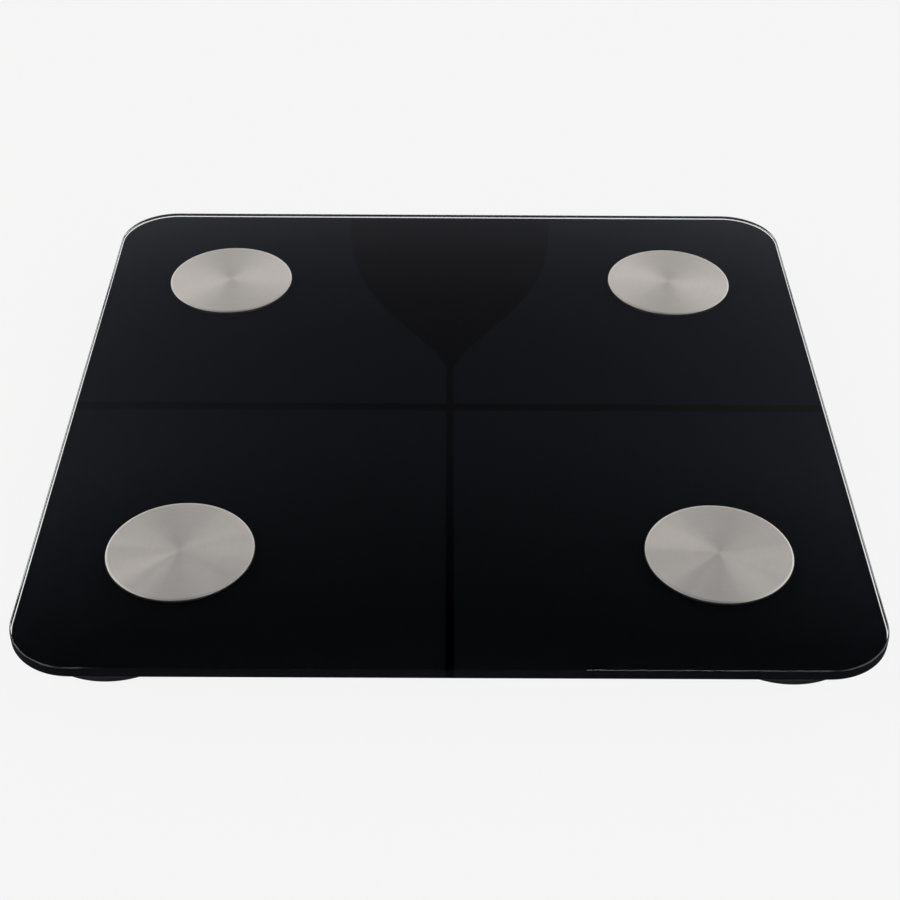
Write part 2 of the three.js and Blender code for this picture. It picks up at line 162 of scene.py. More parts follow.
def noise(tree, vector, scale, detail=3.0, roughness=0.5):
    made = node(tree, "ShaderNodeTexNoise")
    tree.links.new(vector, made.inputs["Vector"])
    made.inputs["Scale"].default_value = scale
    made.inputs["Detail"].default_value = detail
    made.inputs["Roughness"].default_value = roughness
    return made.outputs["Fac"]


def remap(tree, value, low, high, to_low, to_high):
    made = node(tree, "ShaderNodeMapRange")
    tree.links.new(value, made.inputs["Value"])
    made.inputs["From Min"].default_value = low
    made.inputs["From Max"].default_value = high
    made.inputs["To Min"].default_value = to_low
    made.inputs["To Max"].default_value = to_high
    return made.outputs["Result"]


def mix_colour(tree, factor, first, second):
    made = node(tree, "ShaderNodeMix", data_type="RGBA")
    link(tree, factor, made.inputs["Factor"])
    for socket, value in ((made.inputs[6], first), (made.inputs[7], second)):
        if isinstance(value, bpy.types.NodeSocket):
            tree.links.new(value, socket)
        else:
            socket.default_value = (*value, 1.0)
    return made.outputs[2]


def bump(tree, shader, height, strength, distance):
    made = node(tree, "ShaderNodeBump")
    made.inputs["Strength"].default_value = strength
    made.inputs["Distance"].default_value = distance
    tree.links.new(height, made.inputs["Height"])
    tree.links.new(made.outputs[0], shader.inputs["Normal"])


def set_inputs(shader, **values):
    for key, value in values.items():
        socket = shader.inputs[key.replace("_", " ")]
        socket.default_value = (*value, 1.0) if isinstance(value, tuple) and len(value) == 3 else value


# ------------------------------------------------------------------ materials


def clear_glass():
    """Low-iron float glass with a faint green edge and the odd trace of a wiped smear in its gloss."""
    material, tree, shader = new_material("clear_glass")
    set_inputs(shader, Base_Color=(0.93, 0.97, 0.96), IOR=1.52, Transmission_Weight=1.0)
    smear = noise(tree, object_coords(tree), 9.0, 5.0, 0.6)
    link(tree, remap(tree, smear, 0.45, 0.8, 0.006, 0.03), shader.inputs["Roughness"])
    return material


# The dark window behind the glass has its tip at y = WINDOW_TIP and widens towards the back edge.
# Its half-width is WINDOW_HALF * (1 - exp(-((y - WINDOW_TIP) / WINDOW_REACH) ** WINDOW_POWER)).
WINDOW_HALF = 43.5 * MM
WINDOW_TIP = 18 * MM
WINDOW_REACH = 51.7 * MM
WINDOW_POWER = 1.8
LINE_HALF_X = 1.35 * MM
LINE_HALF_Y = 2.15 * MM
LINE_Y = -0.25 * MM
PRINT_BLUR = 0.25 * MM
PANEL_INK = (0.0053, 0.0065, 0.0084)
BLACK_INK = (0.0003, 0.0003, 0.0004)


def soft_step(tree, distance):
    """1 where distance is negative, 0 where it is positive, over the blur of a screen-printed edge."""
    return remap(tree, distance, PRINT_BLUR, -PRINT_BLUR, 0.0, 1.0)


def screen_print():
    """The ink under the glass: blue-black panels, and a blacker window and cross between them."""
    material, tree, shader = new_material("screen_print")
    coords = object_coords(tree)
    x, y, _ = separate(tree, coords)
    across = math_node(tree, "ABSOLUTE", x)
    along = math_node(tree, "DIVIDE", math_node(tree, "SUBTRACT", y, WINDOW_TIP), WINDOW_REACH)
    reach = math_node(tree, "POWER", math_node(tree, "MAXIMUM", along, 0.0), WINDOW_POWER)
    falloff = math_node(tree, "EXPONENT", math_node(tree, "MULTIPLY", reach, -1.0))
    half = math_node(tree, "MULTIPLY", math_node(tree, "SUBTRACT", 1.0, falloff), WINDOW_HALF)
    half = math_node(tree, "MAXIMUM", half, LINE_HALF_X)
    window = soft_step(tree, math_node(tree, "SUBTRACT", across, half))
    off_line = math_node(tree, "ABSOLUTE", math_node(tree, "SUBTRACT", y, LINE_Y))
    line = soft_step(tree, math_node(tree, "SUBTRACT", off_line, LINE_HALF_Y))
    black = math_node(tree, "MAXIMUM", window, line)
    grain = remap(tree, noise(tree, coords, 1800.0, 2.0), 0.3, 0.7, 0.85, 1.15)
    panel = mix_colour(tree, grain, (0.0, 0.0, 0.0), PANEL_INK)
    tree.links.new(mix_colour(tree, black, panel, BLACK_INK), shader.inputs["Base Color"])
    set_inputs(shader, Roughness=0.6, Specular_IOR_Level=0.0)
    return material


STEEL_DARK = (0.64, 0.612, 0.595)
STEEL_LIGHT = (0.713, 0.684, 0.667)
# Within this radius the steel's colour darkens towards the middle of the disc: painted shade for the dimmer
# reflection there.
PAINTED_SHADE_CENTRE_R = 9 * MM


def brushed_disc():
    """Stainless steel turned under an abrasive: fine rings of finite length, with a soft radial fan of
    painted reflection and painted shade towards the centre in its colour.
    """
    material, tree, shader = new_material("brushed_disc")
    x, y, _ = separate(tree, object_coords(tree))
    flat = combine(tree, x, y, 0.0)
    length = node(tree, "ShaderNodeVectorMath", operation="LENGTH")
    tree.links.new(flat, length.inputs[0])
    radius = length.outputs["Value"]
    normal = node(tree, "ShaderNodeVectorMath", operation="NORMALIZE")
    tree.links.new(flat, normal.inputs[0])
    side, ahead, _ = separate(tree, normal.outputs[0])

    def rings(scale, arc, detail):
        around = math_node(tree, "MULTIPLY", side, arc)
        about = math_node(tree, "MULTIPLY", ahead, arc)
        out = math_node(tree, "MULTIPLY", radius, scale)
        return noise(tree, combine(tree, out, around, about), 1.0, detail)

    fine = rings(5200.0, 2.2, 2.0)
    broad = rings(900.0, 1.2, 2.0)
    # painted_sheen_fan: broad angular sectors that paint the light and dark reflection fans of the circular
    # brushing into the colour; the same noise also varies the roughness.
    painted_sheen_fan = rings(14.0, 2.6, 1.0)
    smudge = noise(tree, object_coords(tree), 55.0, 3.0, 0.6)
    # Painted shade: the colour darkens towards the disc's centre.
    tone = remap(tree, radius, 0.0, PAINTED_SHADE_CENTRE_R, -0.25, 0.0)
    # The colour's tone adds the painted reflection fan and the painted centre shade to the real brushing
    # rings and smudges.
    for layer, weight in ((fine, 0.3), (broad, 0.2), (painted_sheen_fan, 0.15), (smudge, 0.45)):
        tone = math_node(tree, "ADD", tone, math_node(tree, "MULTIPLY", layer, weight))
    shade = remap(tree, tone, 0.4, 0.8, 0.0, 1.0)
    tree.links.new(mix_colour(tree, shade, STEEL_DARK, STEEL_LIGHT), shader.inputs["Base Color"])
    link(tree, remap(tree, painted_sheen_fan, 0.3, 0.7, 0.46, 0.51), shader.inputs["Roughness"])
    bump(tree, shader, fine, 0.25, 0.02 * MM)
    tangent = node(tree, "ShaderNodeTangent", direction_type="RADIAL", axis="Z")
    tree.links.new(tangent.outputs[0], shader.inputs["Tangent"])
    set_inputs(shader, Metallic=1.0, Anisotropic=0.37, Anisotropic_Rotation=0.25)
    return material


def moulded_plastic(name, dark, light, roughness, grain_scale=2600.0, depth=0.03 * MM):
    """Spark-eroded moulded ABS: a fine even grain with broad soft changes of tone."""
    material, tree, shader = new_material(name)
    coords = object_coords(tree)
    tone = remap(tree, noise(tree, coords, 24.0, 4.0), 0.3, 0.7, 0.0, 1.0)
    tree.links.new(mix_colour(tree, tone, dark, light), shader.inputs["Base Color"])
    grain = noise(tree, coords, grain_scale, 3.0, 0.6)
    link(tree, remap(tree, grain, 0.3, 0.7, roughness - 0.07, roughness + 0.07), shader.inputs["Roughness"])
    bump(tree, shader, grain, 0.35, depth)
    set_inputs(shader, Specular_IOR_Level=0.45)
    return material


def rubber():
    """Soft matt rubber with fine moulding dust."""
    material, tree, shader = new_material("pad_rubber")
    coords = object_coords(tree)
    dust = noise(tree, coords, 700.0, 5.0, 0.7)
    shade = remap(tree, dust, 0.45, 0.8, 0.0, 1.0)
    colour = mix_colour(tree, shade, (0.006, 0.006, 0.0065), (0.022, 0.022, 0.023))
    tree.links.new(colour, shader.inputs["Base Color"])
    link(tree, remap(tree, dust, 0.3, 0.8, 0.62, 0.85), shader.inputs["Roughness"])
    bump(tree, shader, dust, 0.4, 0.05 * MM)
    set_inputs(shader, Specular_IOR_Level=0.3)
    return material


def plated_steel():
    """Zinc-plated pressings: bright, with a cloudy passivated bloom and fine drawing lines."""
    material, tree, shader = new_material("plated_metal")
    coords = object_coords(tree)
    bloom = noise(tree, coords, 160.0, 4.0)
    x, y, z = separate(tree, coords)
    along, across = 60.0, 2400.0
    stretched = combine(tree, math_node(tree, "MULTIPLY", x, along), math_node(tree, "MULTIPLY", y, across),
                        math_node(tree, "MULTIPLY", z, across))
    drawn = noise(tree, stretched, 1.0, 2.0)
    colour = mix_colour(tree, remap(tree, bloom, 0.3, 0.7, 0.0, 1.0), (0.52, 0.52, 0.50), (0.68, 0.69, 0.70))
    tree.links.new(colour, shader.inputs["Base Color"])
    link(tree, remap(tree, drawn, 0.3, 0.7, 0.25, 0.42), shader.inputs["Roughness"])
    bump(tree, shader, drawn, 0.15, 0.02 * MM)
    set_inputs(shader, Metallic=1.0)
    return material


def foam():
    """Closed-cell foam tape: small bubbles cut through at the edges."""
    material, tree, shader = new_material("cell_foam")
    cells = node(tree, "ShaderNodeTexVoronoi", feature="F1")
    tree.links.new(object_coords(tree), cells.inputs["Vector"])
    cells.inputs["Scale"].default_value = 2200.0
    distance = cells.outputs["Distance"]
    colour = mix_colour(tree, distance, (0.006, 0.006, 0.006), (0.05, 0.05, 0.05))
    tree.links.new(colour, shader.inputs["Base Color"])
    bump(tree, shader, distance, 0.6, 0.1 * MM)
    set_inputs(shader, Roughness=0.95, Specular_IOR_Level=0.1)
    return material


def circuit_board():
    """Green solder resist over copper tracks that show as slightly raised, lighter lines."""
    material, tree, shader = new_material("solder_resist")
    x, y, _ = separate(tree, object_coords(tree))
    pitch = 2.54 * MM
    wander = noise(tree, combine(tree, math_node(tree, "MULTIPLY", x, 90.0), 0.0, 0.0), 1.0, 1.0)
    drift = math_node(tree, "MULTIPLY", wander, 3.0)
    lane = math_node(tree, "ADD", math_node(tree, "DIVIDE", y, pitch), drift)
    saw = math_node(tree, "ABSOLUTE", math_node(tree, "SUBTRACT", math_node(tree, "FRACT", lane), 0.5))
    track = remap(tree, saw, 0.12, 0.16, 1.0, 0.0)
    colour = mix_colour(tree, track, (0.006, 0.055, 0.026), (0.016, 0.12, 0.05))
    tree.links.new(colour, shader.inputs["Base Color"])
    bump(tree, shader, track, 0.4, 0.035 * MM)
    set_inputs(shader, Roughness=0.32)
    return material


def speckled(name, dark, light, roughness, scale):
    """Plain moulded or drawn plastic with a little tone and gloss variation."""
    material, tree, shader = new_material(name)
    tone = noise(tree, object_coords(tree), scale, 4.0)
    shade = remap(tree, tone, 0.3, 0.7, 0.0, 1.0)
    tree.links.new(mix_colour(tree, shade, dark, light), shader.inputs["Base Color"])
    link(tree, remap(tree, tone, 0.3, 0.7, roughness - 0.05, roughness + 0.05), shader.inputs["Roughness"])
    return material


SLEEVE_START = 0.7 * MM
SLEEVE_BAND = 31.6 * MM
SLEEVE_END = 43.0 * MM


def battery_sleeve():
    """A plain shrink sleeve in two tones, bright steel showing at both ends of the can."""
    material, tree, shader = new_material("cell_sleeve")
    edge = 0.02 * MM
    x, y, z = separate(tree, object_coords(tree))
    scuff = noise(tree, combine(tree, x, y, math_node(tree, "MULTIPLY", z, 4.0)), 320.0, 4.0)
    band = remap(tree, z, SLEEVE_BAND, SLEEVE_BAND + 10 * edge, 0.0, 1.0)
    sleeve = mix_colour(tree, band, (0.020, 0.028, 0.036), (0.30, 0.17, 0.06))
    sleeve = mix_colour(tree, remap(tree, scuff, 0.5, 0.9, 0.0, 0.4), sleeve, (0.16, 0.16, 0.16))
    base = remap(tree, z, SLEEVE_START, SLEEVE_START + edge, 1.0, 0.0)
    top = remap(tree, z, SLEEVE_END, SLEEVE_END + edge, 0.0, 1.0)
    bare = math_node(tree, "MAXIMUM", base, top)
    tree.links.new(mix_colour(tree, bare, sleeve, (0.62, 0.62, 0.61)), shader.inputs["Base Color"])
    tree.links.new(bare, shader.inputs["Metallic"])
    link(tree, remap(tree, scuff, 0.3, 0.8, 0.25, 0.4), shader.inputs["Roughness"])
    return material


# ------------------------------------------------------------------ mesh helpers


def make_object(name, verts, faces, materials, slots=None, sharp_degrees=30.0):
    """A mesh object with smooth faces; slots gives the material's index of each face."""
    mesh = bpy.data.meshes.new(name)
    mesh.from_pydata([tuple(v) for v in verts], [], faces)
    for material in materials:
        mesh.materials.append(material)
    if slots:
        mesh.polygons.foreach_set("material_index", slots)
    mesh.validate()
    made = bpy.data.objects.new(name, mesh)
    bpy.context.scene.collection.objects.link(made)
    smooth_by_angle(made, sharp_degrees)
    return made


def smooth_by_angle(made, sharp_degrees):
    """Shades smoothly, apart from edges where faces meet at more than an angle."""
    mesh = made.data
    mesh.shade_smooth()
    mesh.set_sharp_from_angle(angle=math.radians(sharp_degrees))
    weighted = made.modifiers.new("weighted_normals", "WEIGHTED_NORMAL")
    weighted.keep_sharp = True


def arc(centre, radius, start, end, steps):
    """Points of an arc in the plane, both ends included; angles in radians."""
    cx, cy = centre
    return [
        (cx + radius * math.cos(start + (end - start) * i / steps),
         cy + radius * math.sin(start + (end - start) * i / steps))
        for i in range(steps + 1)
    ]


def rounded_profile(points, steps=4):
    """Rounds a [(r, z, radius), ...] polyline, each point by its own radius."""
    result = []
    for i, (r, z, radius) in enumerate(points):
        here = Vector((r, z))
        if radius == 0 or i in (0, len(points) - 1):
            result.append((r, z))
            continue
        before = (Vector(points[i - 1][:2]) - here).normalized()
        after = (Vector(points[i + 1][:2]) - here).normalized()
        half_angle = before.angle(after) / 2
        reach = radius / math.tan(half_angle)
        centre = here + (before + after).normalized() * radius / math.sin(half_angle)
        start, end = here + before * reach - centre, here + after * reach - centre
        turn = start.angle_signed(end)
        for k in range(steps + 1):
            angle = -turn * k / steps
            result.append((
                centre.x + start.x * math.cos(angle) - start.y * math.sin(angle),
                centre.y + start.x * math.sin(angle) + start.y * math.cos(angle),
            ))
    return result


def lathe(name, profile, segments, materials, sharp_degrees=30.0, outer=None):
    """Turns a [(radius, height), ...] profile about Z; it starts and ends on the axis.

    Faces that reach past the radius outer take the second material.
    """
    if not isinstance(materials, list):
        materials = [materials]
    verts, rings, slots = [], [], []
    for radius, height in profile:
        if radius < 1e-9:
            rings.append([len(verts)])
            verts.append((0.0, 0.0, height))
            continue
        rings.append(list(range(len(verts), len(verts) + segments)))
        for k in range(segments):
            angle = 2 * math.pi * k / segments
            verts.append((radius * math.cos(angle), radius * math.sin(angle), height))
    faces = []
    for low, high, (low_r, _), (high_r, _) in zip(rings, rings[1:], profile, profile[1:]):
        if len(low) == 1 and len(high) == 1:
            continue
        slots += [1 if outer and max(low_r, high_r) > outer else 0] * segments
        for k in range(segments):
            n = (k + 1) % segments
            if len(low) == 1:
                faces.append((low[0], high[n], high[k]))
            elif len(high) == 1:
                faces.append((low[k], low[n], high[0]))
            else:
                faces.append((low[k], low[n], high[n], high[k]))
    return make_object(name, verts, faces, materials, slots, sharp_degrees=sharp_degrees)


def settle(piece, body, slot, *replaced):
    """Gives a piece its body and hides the CAD nodes that it stands for; its slot is not used."""
    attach(piece, body)
    if replaced:
        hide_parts(*replaced)
    return piece


# ------------------------------------------------------------------ glass platform

EDGE_STEPS = 5


def rounded_square(inset, steps=20):
    half, radius = HALF - inset, CORNER_R - inset
    core = half - radius
    points = []
    for quarter, (sx, sy) in enumerate(((1, 1), (-1, 1), (-1, -1), (1, -1))):
        start = quarter * math.pi / 2
        points += arc((sx * core, sy * core), radius, start, start + math.pi / 2, steps)
    return points


def glass_levels():
    """(inset, height) pairs up the polished edge, from the underside to the top face."""
    bottom_round, top_round = 0.4 * MM, 0.6 * MM
    quarter = [math.pi / 2 * k / EDGE_STEPS for k in range(EDGE_STEPS + 1)]
    levels = [(bottom_round * (1 - math.sin(angle)), GLASS_BOTTOM + bottom_round * (1 - math.cos(angle)))
              for angle in quarter]
    levels += [(top_round * (1 - math.cos(angle)), GLASS_TOP - top_round * (1 - math.sin(angle)))
               for angle in quarter]
    return levels


def glass_platform(glass, ink):
    """The clear slab, with the ink as the middle of its underside."""
    levels = glass_levels()
    verts, faces, slots = [], [], []
    for inset, height in levels:
        verts += [(x, y, height) for x, y in rounded_square(inset)]
    count = len(rounded_square(0))
    for ring in range(len(levels) - 1):
        for k in range(count):
            n = (k + 1) % count
            low, high = ring * count, (ring + 1) * count
            faces.append((low + k, low + n, high + n, high + k))
            slots.append(0)

    # Each face of the slab is one flat sheet, pierced where the studs of the electrodes pass.
    print_margin = 0.15 * MM
    hole_steps = 24
    rims = []
    for height in (GLASS_BOTTOM, GLASS_TOP):
        rims.append([])
        for tag in CORNERS:
            centre = middle(f"electrode_{tag}")
            ring = arc((centre.x, centre.y), STUD_HOLE_R, 0, 2 * math.pi, hole_steps)[:-1]
            rims[-1].append(range(len(verts), len(verts) + hole_steps))
            verts += [(x, y, height) for x, y in ring]

    printed = range(len(verts), len(verts) + count)
    verts += [(x, y, GLASS_BOTTOM) for x, y in rounded_square(levels[0][0] + print_margin)]
    for k in range(count):
        n = (k + 1) % count
        faces.append((k, printed[k], printed[n], n))
        slots.append(0)

    def sheet(outer, holes, slot, upward):
        loops = [[Vector(verts[i]) for i in outer]] + [[Vector(verts[i]) for i in hole] for hole in holes]
        index = list(outer) + [i for hole in holes for i in hole]
        for triangle in tessellate_polygon(loops):
            a, b, c = (index[i] for i in triangle)
            rising = (Vector(verts[b]) - Vector(verts[a])).cross(Vector(verts[c]) - Vector(verts[a])).z > 0
            faces.append((a, b, c) if rising == upward else (a, c, b))
            slots.append(slot)

    sheet(printed, rims[0], 1, False)
    top_ring = range((len(levels) - 1) * count, len(levels) * count)
    sheet(top_ring, rims[1], 0, True)
    for low, high in zip(*rims):
        for k in range(hole_steps):
            n = (k + 1) % hole_steps
            faces.append((low[n], low[k], high[k], high[n]))
            slots.append(0)

    slab = make_object("platform_glass", verts, faces, [glass, ink], slots)
    settle(slab, "platform", "platform_glass", "glass_platform")


# ------------------------------------------------------------------ electrodes and feet


def electrodes(steel, painted_shadow_bead):
    """Pressed discs with a lightly crowned polished border, on a thin black bead that paints the shadow line
    around each disc's foot.
    """
    for tag in CORNERS:
        name = f"electrode_{tag}"
        low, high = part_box(name)
        radius = (high.x - low.x) / 2
        thick = high.z - GLASS_TOP
        # The black bead round the foot of the disc is painted shadow: a dark ring put where the disc's edge
        # casts its shade on the glass.
        bead, bead_foot = 0.28 * MM, 0.1 * MM
        crown, fall = 0.85 * MM, 0.13 * MM
        profile = rounded_profile([
            (0, low.z - high.z, 0), (STUD_R, low.z - high.z, 0.3 * MM), (STUD_R, -thick, 0),
            (radius, -thick, 0), (radius, -thick + bead_foot, 0), (radius - bead, -thick + bead, 0),
            (radius - bead, -fall, 0.07 * MM), (radius - crown, 0, 0.5 * MM), (0, 0, 0),
        ], 5)
        disc = lathe(f"disc_{tag}", profile, 160, [steel, painted_shadow_bead], 40.0, outer=radius - bead + 0.01 * MM)
        disc.location = ((low.x + high.x) / 2, (low.y + high.y) / 2, high.z)
        settle(disc, "platform", "electrode_steel", name)


def feet(plastic, pad_rubber):
    """Cups with a stem that bears on the load cell, and ringed rubber pads under them."""
    for tag in CORNERS:
        cup_low, cup_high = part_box(f"foot_cup_{tag}")
        pad_low, pad_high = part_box(f"foot_pad_{tag}")
        radius = (pad_high.x - pad_low.x) / 2
        centre = Vector(((pad_low.x + pad_high.x) / 2, (pad_low.y + pad_high.y) / 2, 0))
        flange = TRAY_LOW.z - 0.3 * MM
        stem, bore, lip, boss = 16 * MM, 13.5 * MM, 17.8 * MM, 4 * MM
        well = flange - 1 * MM
        lip_low = cup_high.z - 1.05 * MM
        lip_high = lip_low + 0.8 * MM
        cup = lathe(f"cup_{tag}", rounded_profile([
            (0, cup_low.z, 0), (radius, cup_low.z, 0.3 * MM), (radius, flange, 0.7 * MM),
            (stem, flange, 0), (stem, lip_low, 0), (lip, lip_low, 0.1 * MM),
            (lip - 0.4 * MM, lip_high, 0.2 * MM), (bore, lip_high, 0.2 * MM), (bore, well, 0),
            (boss, well, 0), (boss, cup_high.z, 0.6 * MM), (0, cup_high.z, 0),
        ]), 128, plastic)
        cup.location = centre
        settle(cup, f"foot_{tag}", "moulded_plastic", f"foot_cup_{tag}")
        groove, groove_floor, groove_mouth = 0.35 * MM, 0.4 * MM, 0.6 * MM
        recess, recess_mouth, taper = 9.4 * MM, 9.8 * MM, 0.4 * MM
        tread = [(0, groove, 0), (recess, groove, 0), (recess_mouth, 0, 0)]
        for ring in (13.0 * MM, 16.2 * MM, 19.4 * MM, 22.6 * MM):
            tread += [(ring - groove_mouth, 0, 0), (ring - groove_floor, groove, 0),
                      (ring + groove_floor, groove, 0), (ring + groove_mouth, 0, 0)]
        pad = lathe(f"pad_{tag}", rounded_profile(tread + [
            (radius - taper, 0, 0.7 * MM), (radius, pad_high.z, 0.2 * MM), (0, pad_high.z, 0),
        ]), 128, pad_rubber)
        pad.location = centre
        settle(pad, f"foot_{tag}", "foot_rubber", f"foot_pad_{tag}")


# ------------------------------------------------------------------ under-tray

TRAY_FILLET = 6 * MM
ARC_STEPS = 8
POD_STEPS = 40


def tray_corner(inset):
    """One corner of the tray's outline, from its +X side to its +Y side: a round pod between two fillets."""
    pod = (FOOT.x, abs(FOOT.y))
    reach = POD_R + TRAY_FILLET
    side = (TRAY_X + TRAY_FILLET, pod[1] - math.sqrt(reach**2 - (TRAY_X + TRAY_FILLET - pod[0]) ** 2))
    end = (pod[0] - math.sqrt(reach**2 - (TRAY_Y + TRAY_FILLET - pod[1]) ** 2), TRAY_Y + TRAY_FILLET)
    first = math.atan2(side[1] - pod[1], side[0] - pod[0])
    last = math.atan2(end[1] - pod[1], end[0] - pod[0])
    points = arc(side, TRAY_FILLET + inset, math.pi, first + math.pi, ARC_STEPS)
    points += arc(pod, POD_R - inset, first, last, POD_STEPS)[1:-1]
    points += arc(end, TRAY_FILLET + inset, last - math.pi, -math.pi / 2, ARC_STEPS)
    return points


def tray_outline(inset):
    corner = tray_corner(inset)
    outline = []
    for sx, sy in ((1, 1), (-1, 1), (-1, -1), (1, -1)):
        quarter = [(sx * x, sy * y) for x, y in corner]
        outline += quarter if sx * sy > 0 else quarter[::-1]
    return outline


def block(name, low, high):
    """A box between two corners."""
    x0, y0, z0 = low
    x1, y1, z1 = high
    verts = [(x, y, z) for z in (z0, z1) for y in (y0, y1) for x in (x0, x1)]
    faces = [(0, 2, 3, 1), (4, 5, 7, 6), (0, 1, 5, 4), (2, 6, 7, 3), (0, 4, 6, 2), (1, 3, 7, 5)]
    return make_object(name, verts, faces, [])


def boolean(target, tool, operation):
    """Adds the tool to the target or cuts it out, and removes the tool."""
    modifier = target.modifiers.new(operation, "BOOLEAN")
    modifier.operation = operation
    modifier.solver = "EXACT"
    modifier.object = tool
    with bpy.context.temp_override(object=target, active_object=target):
        bpy.ops.object.modifier_apply(modifier=modifier.name)
    bpy.data.objects.remove(tool)


def under_tray(plastic):
    """A shallow tray with a rounded foot and a rim for the tape, opened for the feet, door and button."""
    bottom, top = TRAY_LOW.z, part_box("bonding_tape")[0].z
    floor, rim, wall, rim_width, edge = 1.8 * MM, 1.2 * MM, 1.8 * MM, 8 * MM, 1.4 * MM
    through, edge_steps = 1 * MM, 5
    levels = []
    for k in range(edge_steps + 1):
        angle = math.pi / 2 * k / edge_steps
        levels.append((edge * (1 - math.sin(angle)), bottom + edge * (1 - math.cos(angle))))
    levels += [(0, top), (rim_width, top), (rim_width, top - rim), (wall, top - rim), (wall, bottom + floor)]
    verts, faces = [], []
    for inset, height in levels:
        verts += [(x, y, height) for x, y in tray_outline(inset)]
    count = len(tray_outline(0))
    for ring in range(len(levels) - 1):
        for k in range(count):
            n = (k + 1) % count
            low, high = ring * count, (ring + 1) * count
            faces.append((low + k, low + n, high + n, high + k))
    faces.append(tuple(range(count))[::-1])
    faces.append(tuple(range((len(levels) - 1) * count, len(levels) * count)))
    tray = make_object("under_tray", verts, faces, [plastic])
    tray.modifiers.clear()

    door_low, door_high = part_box("battery_door")
    cells = [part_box(f"battery_cell_{i}") for i in (1, 2, 3)]
    around_cells, over_cells = 1.05 * MM, 0.15 * MM
    bay_x = 26.5 * MM
    bay_front = min(low.y for low, _ in cells) - around_cells
    bay_back = max(high.y for _, high in cells) + around_cells
    bay_roof = max(high.z for _, high in cells) + over_cells
    side_wall, end_wall, roof_wall = 2.5 * MM, 1.5 * MM, 0.9 * MM
    inlay = bottom + 1.3 * MM
    sill_top = bottom + 3.2 * MM
    boolean(tray, block("bay_box", (-bay_x - side_wall, bay_front - end_wall, inlay),
                        (bay_x + side_wall, bay_back + end_wall, bay_roof + roof_wall)), "UNION")
    boolean(tray, block("door_sill", (-bay_x - side_wall, -TRAY_Y + 0.5 * MM, inlay),
                        (bay_x + side_wall, bay_front - 1 * MM, sill_top)), "UNION")
    gap, ledge = 0.3 * MM, 1 * MM
    lip, slot_top = bottom + 0.5 * MM, bottom + 1.4 * MM
    boolean(tray, block("door_wide", (door_low.x - gap, -TRAY_Y - through, lip),
                        (door_high.x + gap, door_high.y + gap, slot_top)), "DIFFERENCE")
    boolean(tray, block("door_narrow", (door_low.x + ledge, -TRAY_Y - through, bottom - through),
                        (door_high.x - ledge, door_high.y + gap, lip + 0.1 * MM)), "DIFFERENCE")
    boolean(tray, block("bay", (-bay_x, bay_front, bottom - through), (bay_x, bay_back, bay_roof)),
            "DIFFERENCE")

    def drill(name, centre, radius, height, segments):
        low, high = bottom - through, bottom + height
        plug = lathe(name, [(0, low), (radius, low), (radius, high), (0, high)], segments, plastic)
        plug.location = (centre.x, centre.y, 0)
        plug.modifiers.clear()
        boolean(tray, plug, "DIFFERENCE")

    drill("button_hole", middle("unit_button"), 4.3 * MM, 4 * MM, 64)
    for tag in CORNERS:
        drill(f"seat_{tag}", middle(f"foot_pad_{tag}"), 16.8 * MM, 3 * MM, 96)
    smooth_by_angle(tray, 30.0)
    settle(tray, "platform", "tray_plastic", "base_tray")


# ------------------------------------------------------------------ battery door, cells and unit button


def bevelled(piece, width):
    """Rounds the piece's edges that turn by more than 40 degrees."""
    edge = piece.modifiers.new("edge", "BEVEL")
    edge.width = width
    edge.segments = 3
    edge.limit_method = "ANGLE"
    edge.angle_limit = math.radians(40)
    with bpy.context.temp_override(object=piece, active_object=piece):
        bpy.ops.object.modifier_apply(modifier=edge.name)


def battery_door(plastic):
    """A sliding lid: a wide tongue that runs in the tray's grooves, over a face with finger grooves."""
    low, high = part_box("battery_door")
    step, face, groove = 1.3 * MM, 0.7 * MM, 0.35 * MM
    grips, grip_half, grip_start, grip_pitch, grip_width = 4, 9 * MM, 4 * MM, 2.4 * MM, 1.2 * MM
    overlap = 0.1 * MM
    door = block("battery_lid", (low.x + step, low.y, low.z), (high.x - step, high.y, low.z + face))
    door.modifiers.clear()
    boolean(door, block("tongue", (low.x, low.y, low.z + face - overlap), tuple(high)), "UNION")
    for i in range(grips):
        start = low.y + grip_start + grip_pitch * i
        grip = block("grip", (-grip_half, start, low.z - groove),
                     (grip_half, start + grip_width, low.z + groove))
        boolean(door, grip, "DIFFERENCE")
    door.data.materials.append(plastic)
    bevelled(door, 0.15 * MM)
    smooth_by_angle(door, 40.0)
    settle(door, "battery_door", "moulded_plastic", "battery_door")


def unit_button(plastic):
    """A dished push button, kept in its hole by a flange."""
    low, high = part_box("unit_button")
    flange_r, flange = (high.x - low.x) / 2, high.z - 0.6 * MM
    cap_r, dish, dish_r, crest_r = 4 * MM, 0.3 * MM, 2.2 * MM, 3.1 * MM
    button = lathe("button", rounded_profile([
        (0, low.z + dish, 0), (dish_r, low.z + dish, 1.5 * MM), (crest_r, low.z, 0.4 * MM),
        (cap_r, low.z, 0.35 * MM), (cap_r, flange, 0), (flange_r, flange, 0.15 * MM),
        (flange_r, high.z, 0.15 * MM), (0, high.z, 0),
    ]), 64, plastic)
    button.location = (middle("unit_button").x, middle("unit_button").y, 0)
    settle(button, "unit_button", "moulded_plastic", "unit_button")


